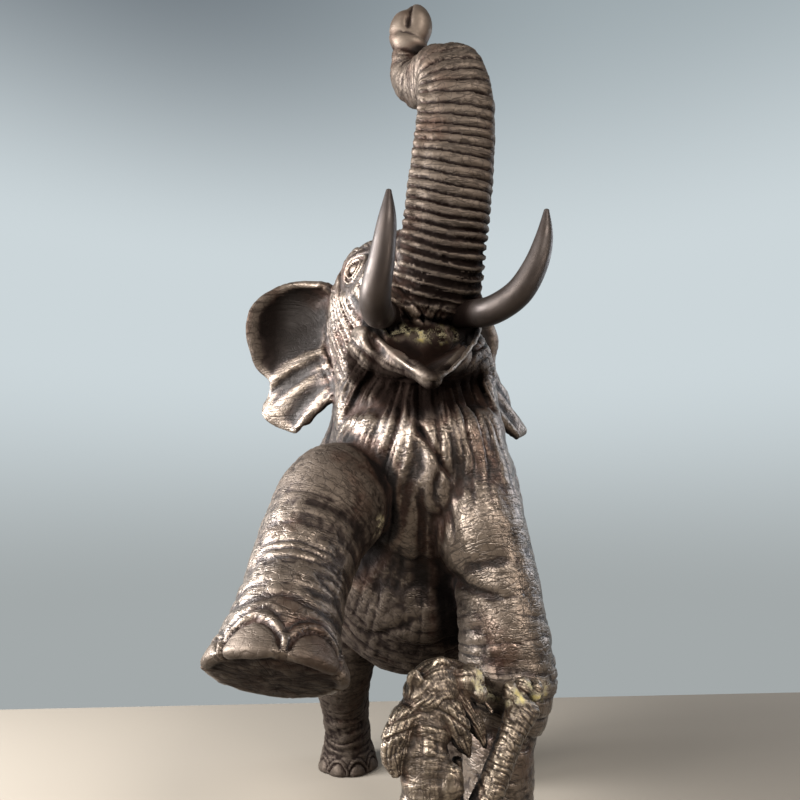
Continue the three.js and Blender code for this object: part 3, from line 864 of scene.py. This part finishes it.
def pressed(clay, relief):
    """The clay's skin with its relief: points, triangles and what else the relief returns."""
    points, triangles = clay.skin()
    facing = unit(softened(normals(points, triangles), triangles, 2))
    moved, *others = relief(points)
    points = points + facing * moved[:, None]
    points[:, 2] = np.maximum(points[:, 2], 0)
    return points, triangles, *others


def elephant():
    """The elephant's pressed skin, thinned most at the back and not at all at the eyes."""
    points, triangles, near_eye, marks = pressed(elephant_clay(), elephant_relief)
    spare = 1 - 0.9 * ramp(30, -60, points[:, 1])
    spare = np.where(near_eye > 0.5, 0.0, spare)
    piece = finish_mesh("elephant_casting", points, triangles, marks, spare)
    mark_wear_and_shade(piece, ELEPHANT_RESIDUE, 5, 0.35, 3.0)
    return piece


# ---- tiger

TIGER_LEG = [
    [9, -168, 50, 15, 18], [22, -182, 42, 12, 15], [27, -186, 26, 9, 10], [26, -176, 12, 7, 7.5],
    [26, -186, 5, 8, 7], [26, -196, 4, 8, 6],
]
TIGER_TOES = [((21, -202, 4), (3.4, 6, 4)), ((27, -203, 4), (3.4, 6, 4)), ((32, -201, 4), (3.2, 5, 4))]
TIGER_LIMBS = {
    "back": Limb([
        [0, -168, 42, 17, 19], [-3, -178, 66, 19, 20], [-6, -186, 94, 19, 18], [-9, -189, 116, 18, 16],
        [-11, -188, 136, 14.5, 14], [-10, -184, 158, 13.5, 13.5], [-7, -177, 176, 15, 14]]),
    "head": Limb([
        [-14, -180, 184, 12, 13], [-2, -173, 189, 15, 17], [10, -164, 189, 12, 14],
        [20, -157, 185, 9, 10], [27, -152, 182, 8, 8]], side=np.array([0.5, 0.85, 0])),
    "right_arm": Limb([
        [6, -190, 112, 12, 12], [20, -191, 122, 9.5, 10], [32, -186, 142, 8.2, 9],
        [44, -178, 162, 8, 9], [54, -170, 176, 11, 9]]),
    "left_arm": Limb([
        [-9, -186, 138, 12, 12], [-20, -186, 156, 9, 9], [-24, -180, 170, 8, 9],
        [-10, -162, 174, 7.5, 7.5], [12, -146, 172, 8, 8]]),
    "right_leg": Limb(TIGER_LEG),
    "left_leg": Limb([[-x, *rest] for x, *rest in TIGER_LEG]),
    "tail": Limb([
        [0, -156, 40, 6, 6], [6, -160, 60, 5, 5], [10, -172, 90, 4, 4], [10, -177, 120, 3.5, 3.5],
        [10, -177, 148, 3.2, 3.2]]),
    "near_tuft": Limb([
        [4, -184, 180, 8, 6], [9, -186, 169, 7, 5], [13, -186, 160, 4.5, 3.2],
        [16, -185, 153, 1.4, 1.4]]),
    "far_tuft": Limb([
        [12, -176, 184, 7, 6], [19, -178, 173, 6, 5], [24, -179, 164, 4, 3],
        [27, -179, 156, 1.4, 1.4]]),
    "side_tuft": Limb([
        [-22, -186, 178, 7, 6], [-28, -192, 169, 7.5, 5], [-31, -194, 158, 6.5, 4.5],
        [-29, -195, 148, 3, 2.5]]),
    "fang": Limb([[22, -163, 188, 2.2, 2.2], [28, -168, 180, 2.2, 2], [34, -170, 173, 1.6, 1.6]]),
}
TIGER_LUMPS = [
    ((-17, -186, 198), (5, 3.2, 5.5), (-0.5, 0, 1)), ((0, -178, 203), (5.5, 3.4, 6), (0.1, 0, 1)),
    ((19, -176, 194), (9, 8, 9.5), (0.3, 0, 1)), ((24, -180, 187), (5, 6, 5), (0.6, 0, -1)),
    ((-6, -192, 150), (10, 7, 14), (0, 0, 1)),
    ((46, -170, 184), (5.5, 6, 7), (0, 0, 1)), ((55, -166, 186), (5.5, 6, 7), (0.1, 0, 1)),
    ((64, -160, 183), (5.5, 6, 7), (0.2, 0, 1)), ((3, -196, 142), (8, 6, 12), (0, 0, 1)),
    ((12, -146, 180), (5, 5, 6), (0, 0, 1)), ((20, -146, 176), (5, 5, 6), (0, 0, 1)),
]
for mirror in (1, -1):
    TIGER_LUMPS += [((mirror * x, y, z), radii, (0, 0, 1)) for (x, y, z), radii in TIGER_TOES]


def tiger_clay():
    """Limbs and lumps joined with small fillets, cut to fit round the elephant's left foreleg."""
    clay = Clay([-48, -218, -2], [78, -128, 222], TIGER_VOXEL)
    for name, limb in TIGER_LIMBS.items():
        clay.add(limb.body(40), 2.5 if name in ("fang", "near_tuft", "far_tuft", "tail") else 5)
    for at, radii, ahead in TIGER_LUMPS:
        clay.add(egg(at, radii, ahead), 2.5)
    clay.cut(LIMBS["left_foreleg"].body(), 1)
    clay.level_off()
    return clay


def tiger_relief(points):
    """Stripes cut across the back and limbs, fur combed along them, and a shaggy ruff."""
    places, share = owners(points, TIGER_LIMBS)
    sway = noise(points, 9, 203)
    total = 0.25 * noise(points, 5, 204) + 0.14 * folds(places["back"], 1.6, 1.6, 205, size=14)
    for k, (name, place) in enumerate(places.items()):
        stripes = folds(place, 10, 34, 210 + k, size=13, sway=0.7 * sway)
        fine = folds(place, 3.4, 13, 230 + k, size=13, sway=sway)
        fur = folds(place, 2.4, 11, 250 + k, size=13, lengthways=True)
        if "tuft" in name or name == "head":
            total += share[name] * (0.4 * stripes + 0.8 * fur)
        elif name == "right_arm":
            rings = np.abs(np.sin(place[0] * 0.6 + 2.2 * sway + 0.5 * np.cos(place[1])))
            total += share[name] * (0.6 * (np.minimum(rings * 1.9, 1) - 0.7) + 0.2 * fur + 0.4 * fine)
        elif name == "tail":
            total += share[name] * 0.4 * (np.abs(np.sin(place[0] * 0.6)) - 0.6)
        else:
            total += share[name] * (1.15 * stripes + 0.2 * fine + 0.1 * fur)
    x, y, z = points.T
    neck = hump(171, 14, z) * ramp(24, 10, x) * ramp(-160, -172, y)
    sweep = z + 0.016 * (x + 16) ** 2
    total += 1.5 * neck * ridges(np.stack([sweep / 5.5, x / 30, y / 30], 1), 271)
    sole = ramp(1.2, 0.2, z)
    marks = {"grain": grain_of(places, TIGER_LIMBS), "polish": 0 * z, "grime_and_shade": 0 * z}
    return total * (1 - sole), marks


def tiger():
    """The tiger's pressed skin."""
    points, triangles, marks = pressed(tiger_clay(), tiger_relief)
    piece = finish_mesh("tiger_casting", points, triangles, marks)
    mark_wear_and_shade(piece, TIGER_RESIDUE, 3, 0.16, 1.2)
    return piece


def tusk(name, stations):
    """A round section carried along the tusk's path, dark at the root and smooth towards the tip."""
    body, quads, fans = Limb(stations, steps=10).body(48)
    triangles = np.concatenate([quads[:, [0, 1, 2]], quads[:, [0, 2, 3]], fans])
    limb = Limb(stations)
    place = limb.place(body)
    marks = {
        "grain": grain_of({"tusk": place}, {"tusk": limb}),
        "polish": ramp(30, 60, place[0]) * 0.5 + 0.5,
        "grime_and_shade": ramp(46, 26, place[0]),
    }
    piece = finish_mesh(name, body, outward(body, triangles), marks)
    mark_wear_and_shade(piece, [], 3, 0.4, 2.0)
    return piece


# ---- materials

def srgb(code):
    """An sRGB hex colour as linear RGBA."""
    parts = [int(code[k:k + 2], 16) / 255 for k in (1, 3, 5)]
    return tuple(c / 12.92 if c <= 0.04045 else ((c + 0.055) / 1.055) ** 2.4 for c in parts) + (1.0,)


MATH, RANGE, MIX = "ShaderNodeMath", "ShaderNodeMapRange", "ShaderNodeMix"
VECTOR, HILLS, CELLS = "ShaderNodeVectorMath", "ShaderNodeTexNoise", "ShaderNodeTexVoronoi"
ADD = {"operation": "ADD"}
SUBTRACT = {"operation": "SUBTRACT"}
MULTIPLY = {"operation": "MULTIPLY"}
MULTIPLY_ADD = {"operation": "MULTIPLY_ADD"}
EASE = {"interpolation_type": "SMOOTHSTEP"}
COLOUR = {"data_type": "RGBA"}
EDGES = {"feature": "DISTANCE_TO_EDGE"}

# How fast a pattern changes along and round the limb, per mm, and its detail.
WRINKLES = ((0.62, 0.11, 0.11), 3.0)
SCRATCHES = ((0.06, 0.8, 0.8), 2.0)
RING_LINES = ((0.24, 0.035, 0.035), 2.0)

# Painted shade colours: near black for well sheltered hollows, and dark brown for the grime-and-shade
# mark; the sheens are reflection tints, full and dimmed.
OCCLUSION_SHADE_BLACK, SHADE_AND_GRIME = "#0d0908", "#100b09"
CHALK, YELLOW_CHALK = "#77705a", "#8f8350"
FULL_SHEEN, DEAD_SHEEN = "#ffffff", "#2a2522"


def node(tree, kind, settings=None, output=0, **inputs):
    """Adds a node, sets its properties, sets or links its inputs, and returns one output.

    An input is named as it is labelled, or by its number as _0, _1 and so on.
    """
    made = tree.nodes.new(kind)
    for key, value in (settings or {}).items():
        setattr(made, key, value)
    for key, value in inputs.items():
        socket = made.inputs[int(key[1:]) if key[1:].isdigit() else key]
        if isinstance(value, bpy.types.NodeSocket):
            tree.links.new(value, socket)
        else:
            socket.default_value = value
    return made.outputs[output]


def bronze(name, mid, crest, crease, tint, gloss, pits):
    """Cast bronze under a dark wax patina: crests rubbed towards metal, creases dull and reddish.

    The eye sees a dark brown skin with satin highlights, fine scratches and
    wrinkles that run round the limbs, and here and there a chalky deposit.
    """
    material = bpy.data.materials.new(name)
    material.use_nodes = True
    tree = material.node_tree
    place = node(tree, "ShaderNodeTexCoord", output="Object")
    grain = node(tree, "ShaderNodeAttribute", {"attribute_name": "grain"}, output="Vector")
    hollow, shelter, residue, polish, grime_and_shade = (
        node(tree, "ShaderNodeAttribute", {"attribute_name": key}, output="Fac")
        for key in ("hollow", "shelter", "residue", "polish", "grime_and_shade"))

    drawn = []
    for weights, detail in (WRINKLES, SCRATCHES, RING_LINES):
        pulled = node(tree, VECTOR, MULTIPLY, _0=grain, _1=weights)
        drawn.append(node(tree, HILLS, Vector=pulled, Scale=1.0, Detail=detail, Roughness=0.55))
    wrinkle, scratch, ring = drawn
    bend = node(tree, HILLS, output="Color", Vector=place, Scale=1 / (9 * MM), Detail=2.0)
    cloud = node(tree, HILLS, Vector=place, Scale=1 / (38 * MM), Detail=4.0)
    mottle = node(tree, HILLS, Vector=place, Scale=1 / (7 * MM), Detail=4.0)
    pit = node(tree, HILLS, Vector=place, Scale=1 / (1.1 * MM), Detail=3.0)
    bend = node(tree, VECTOR, {"operation": "SCALE"}, _0=bend, Scale=9 * MM)
    bent = node(tree, VECTOR, ADD, _0=place, _1=bend)
    crack = node(tree, CELLS, EDGES, Vector=bent, Scale=1 / (8 * MM))
    cell = node(tree, CELLS, EDGES, Vector=place, Scale=1 / (3.2 * MM))

    # A line runs where the ring noise is even: `line` is 0 there and 1 beside it.
    ring = node(tree, MATH, SUBTRACT, _0=ring, _1=0.5)
    ring = node(tree, MATH, {"operation": "ABSOLUTE"}, _0=ring)
    ring = node(tree, RANGE, EASE, _0=ring, _1=0.0, _2=0.035)
    crack = node(tree, RANGE, EASE, _0=crack, _1=0.0, _2=0.07, _3=0.55)
    line = node(tree, MATH, MULTIPLY, _0=ring, _1=crack)

    # The deposit breaks up into crumbs towards its edge.
    crumbs = node(tree, MATH, MULTIPLY_ADD, _0=pit, _1=0.5, _2=mottle)
    crumbs = node(tree, RANGE, EASE, _0=crumbs, _1=0.68, _2=0.84)
    crumbs = node(tree, MATH, {"operation": "MULTIPLY", "use_clamp": True}, _0=residue, _1=crumbs)
    chalk = node(tree, RANGE, EASE, _0=mottle, _1=0.56, _2=0.7)
    chalk = node(tree, MIX, COLOUR, output=2, _0=chalk, _6=srgb(CHALK), _7=srgb(YELLOW_CHALK))

    # Layers of patina, grime and painted shade, the lowest first, each with the share of the surface it
    # covers.
    lifted = node(tree, MATH, MULTIPLY_ADD, _0=mottle, _1=0.5, _2=hollow)
    lifted = node(tree, RANGE, EASE, _0=lifted, _1=0.35, _2=-0.7)
    clouded = node(tree, RANGE, EASE, _0=cloud, _1=0.52, _2=0.72, _4=0.55)
    sunk = node(tree, RANGE, EASE, _0=hollow, _1=0.0, _2=1.1)
    unlined = node(tree, MATH, ADD, _0=polish, _1=0.45)
    unlined = node(tree, MATH, {"operation": "MAXIMUM", "use_clamp": True}, _0=line, _1=unlined)
    lined = node(tree, MATH, SUBTRACT, _0=1.0, _1=unlined)
    sheltered = node(tree, RANGE, EASE, _0=shelter, _1=0.12, _2=0.3, _4=0.35)
    # Painted shade: well sheltered hollows are darkened towards near black.
    occlusion_shade = node(tree, RANGE, EASE, _0=shelter, _1=0.22, _2=0.52, _4=0.94)
    colour = srgb(mid)
    for paint, share in (
            (srgb(crest), lifted), (srgb(tint), clouded), (srgb(crease), sunk), (srgb(crease), lined),
            (srgb(tint), sheltered), (srgb(OCCLUSION_SHADE_BLACK), occlusion_shade), (srgb(SHADE_AND_GRIME), grime_and_shade), (chalk, crumbs)):
        colour = node(tree, MIX, COLOUR, output=2, _0=share, _6=colour, _7=paint)

    dull = node(tree, RANGE, EASE, _0=hollow, _1=-0.2, _2=0.8, _3=gloss, _4=gloss + 0.22)
    uneven = node(tree, RANGE, EASE, _0=mottle, _1=0.35, _2=0.7, _3=-0.05, _4=0.07)
    dusty = node(tree, RANGE, EASE, _0=shelter, _1=0.2, _2=0.55, _4=0.3)
    for share, amount in ((uneven, 1.0), (dusty, 1.0), (crumbs, 0.35), (grime_and_shade, 0.5)):
        dull = node(tree, MATH, MULTIPLY_ADD, _0=share, _1=amount, _2=dull)
    metal = node(tree, MATH, MULTIPLY_ADD, _0=crumbs, _1=-0.8, _2=0.72)
    # Where the grime-and-shade mark is high, reflections are dimmed: painted shade, partly real grime.
    sheen = node(tree, MATH, MULTIPLY_ADD, _0=grime_and_shade, _1=-0.45, _2=0.5)
    edge = node(tree, MIX, COLOUR, output=2, _0=grime_and_shade, _6=srgb(FULL_SHEEN), _7=srgb(DEAD_SHEEN))

    height = node(tree, RANGE, EASE, _0=cell, _1=0.0, _2=0.25, _4=0.15)
    for pattern, depth in ((wrinkle, 0.8), (line, 0.7), (scratch, 0.3), (pit, 0.22)):
        height = node(tree, MATH, MULTIPLY_ADD, _0=pattern, _1=depth, _2=height)
    unrubbed = node(tree, MATH, MULTIPLY_ADD, _0=polish, _1=-0.9, _2=1.0)
    height = node(tree, MATH, MULTIPLY, _0=height, _1=unrubbed)
    height = node(tree, MATH, MULTIPLY_ADD, _0=crumbs, _1=0.8, _2=height)
    bump = node(tree, "ShaderNodeBump", Height=height, Strength=pits, Distance=0.9 * MM)

    for socket, value in (
            ("Base Color", colour), ("Roughness", dull), ("Metallic", metal), ("Normal", bump),
            ("Specular IOR Level", sheen), ("Specular Tint", edge)):
        tree.links.new(value, tree.nodes["Principled BSDF"].inputs[socket])
    return material


# ---- stage

CAMERA_AT = (-54.8, -597.6, 306.0)
CAMERA_PITCH, CAMERA_YAW = 8.9, 4.0
LENS = 28.8


def set_stage():
    """The camera, the floor, the room as a few soft gradients, and six lamps."""
    scene = bpy.context.scene
    camera = placed("camera", bpy.data.cameras.new("camera"))
    camera.data.lens, camera.data.sensor_width = LENS, 36
    camera.data.clip_start = 0.02
    camera.location = (np.array(CAMERA_AT) + GROUP_SHIFT) * MM
    camera.rotation_euler = (math.radians(90 + CAMERA_PITCH), 0, math.radians(-CAMERA_YAW))
    scene.camera = camera

    floor = bpy.data.meshes.new("floor")
    w, near, far = 1.6, -1.2, 0.42
    floor.from_pydata([(-w, near, 0), (w, near, 0), (w, far, 0), (-w, far, 0)], [], [(0, 1, 2, 3)])
    pale = bpy.data.materials.new("pale_floor")
    pale.use_nodes = True
    finish = pale.node_tree.nodes["Principled BSDF"].inputs
    finish["Base Color"].default_value = srgb("#665f55")
    finish["Roughness"].default_value = 0.8
    floor.materials.append(pale)
    placed("floor", floor)

    world = bpy.data.worlds.new("world")
    world.use_nodes = True
    tree = world.node_tree
    way = node(tree, "ShaderNodeTexCoord", output="Generated")
    across, back, up = node(tree, "ShaderNodeSeparateXYZ", Vector=way).node.outputs
    wall = node(tree, RANGE, EASE, _0=back, _1=-0.35, _2=0.35)
    low = node(tree, RANGE, EASE, _0=up, _1=-0.14, _2=0.2)
    high = node(tree, RANGE, EASE, _0=up, _1=0.34, _2=0.7)
    side = node(tree, RANGE, EASE, _0=across, _1=-0.3, _2=0.35)
    top = node(tree, MIX, COLOUR, output=2, _0=side, _6=srgb("#6c747b"), _7=srgb("#9aa5aa"))
    paint = node(tree, MIX, COLOUR, output=2, _0=low, _6=srgb("#a3a9aa"), _7=srgb("#ccd6da"))
    paint = node(tree, MIX, COLOUR, output=2, _0=high, _6=paint, _7=top)
    room = node(tree, MIX, COLOUR, output=2, _0=wall, _6=srgb("#2b2623"), _7=paint)
    tree.links.new(room, tree.nodes["Background"].inputs[0])
    tree.nodes["Background"].inputs[1].default_value = 1.0
    scene.world = world
    scene.view_settings.view_transform = "Standard"

    def lamp(name, at, aim, size, power, colour):
        """A rectangular lamp at one point, turned to face another; its power is in watts."""
        light = bpy.data.lights.new(name, "AREA")
        light.shape = "RECTANGLE"
        light.size, light.size_y = size
        light.energy = power
        light.color = srgb(colour)[:3]
        piece = placed(name, light)
        piece.location = at
        way = np.array(aim, float) - np.array(at, float)
        piece.rotation_euler = (math.atan2(math.hypot(way[0], way[1]), -way[2]), 0,
                                math.atan2(way[1], way[0]) - math.pi / 2)

    lamp("window_left", (-1.15, -0.14, 0.62), (0, -0.05, 0.36), (0.5, 0.75), 92, "#fcfdff")
    lamp("window_near", (-1.0, -0.72, 0.62), (0, -0.05, 0.36), (0.4, 0.7), 36, "#fffdfa")
    lamp("window_front", (-0.75, -1.05, 0.8), (0, -0.05, 0.35), (0.3, 0.4), 11, "#fffaf4")
    lamp("front_fill", (0.55, -1.5, 1.3), (0, 0, 0.35), (0.4, 0.3), 42, "#fffaf4")
    lamp("front_low", (0.95, -1.0, 0.45), (0.05, -0.1, 0.22), (0.25, 0.3), 8, "#fff4ea")
    lamp("right_soft", (1.4, 0.35, 0.8), (0, 0, 0.3), (0.5, 0.9), 12, "#eef4ff")


# ---- assembly

set_stage()
pieces = {
    "elephant": (elephant(), "patinated_bronze", bronze(
        "patinated_cast_bronze", "#2c2420", "#584e45", "#140f0c", "#3d2519", 0.36, 0.42)),
    "tiger": (tiger(), "tiger_bronze", bronze(
        "striped_cast_bronze", "#3a3129", "#685d50", "#1a140f", "#453022", 0.36, 0.3)),
}
rubbed = bronze("rubbed_tusk_bronze", "#241e1b", "#2e2723", "#1a1412", "#2a201b", 0.48, 0.2)
for side, stations in (("right", RIGHT_TUSK), ("left", LEFT_TUSK)):
    pieces["tusk_" + side] = (tusk("tusk_" + side + "_casting", stations), "polished_tusk", rubbed)
for node_name, (piece, slot, material) in pieces.items():
    piece.data.materials.append(material)
    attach(piece, "root")
    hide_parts(node_name)
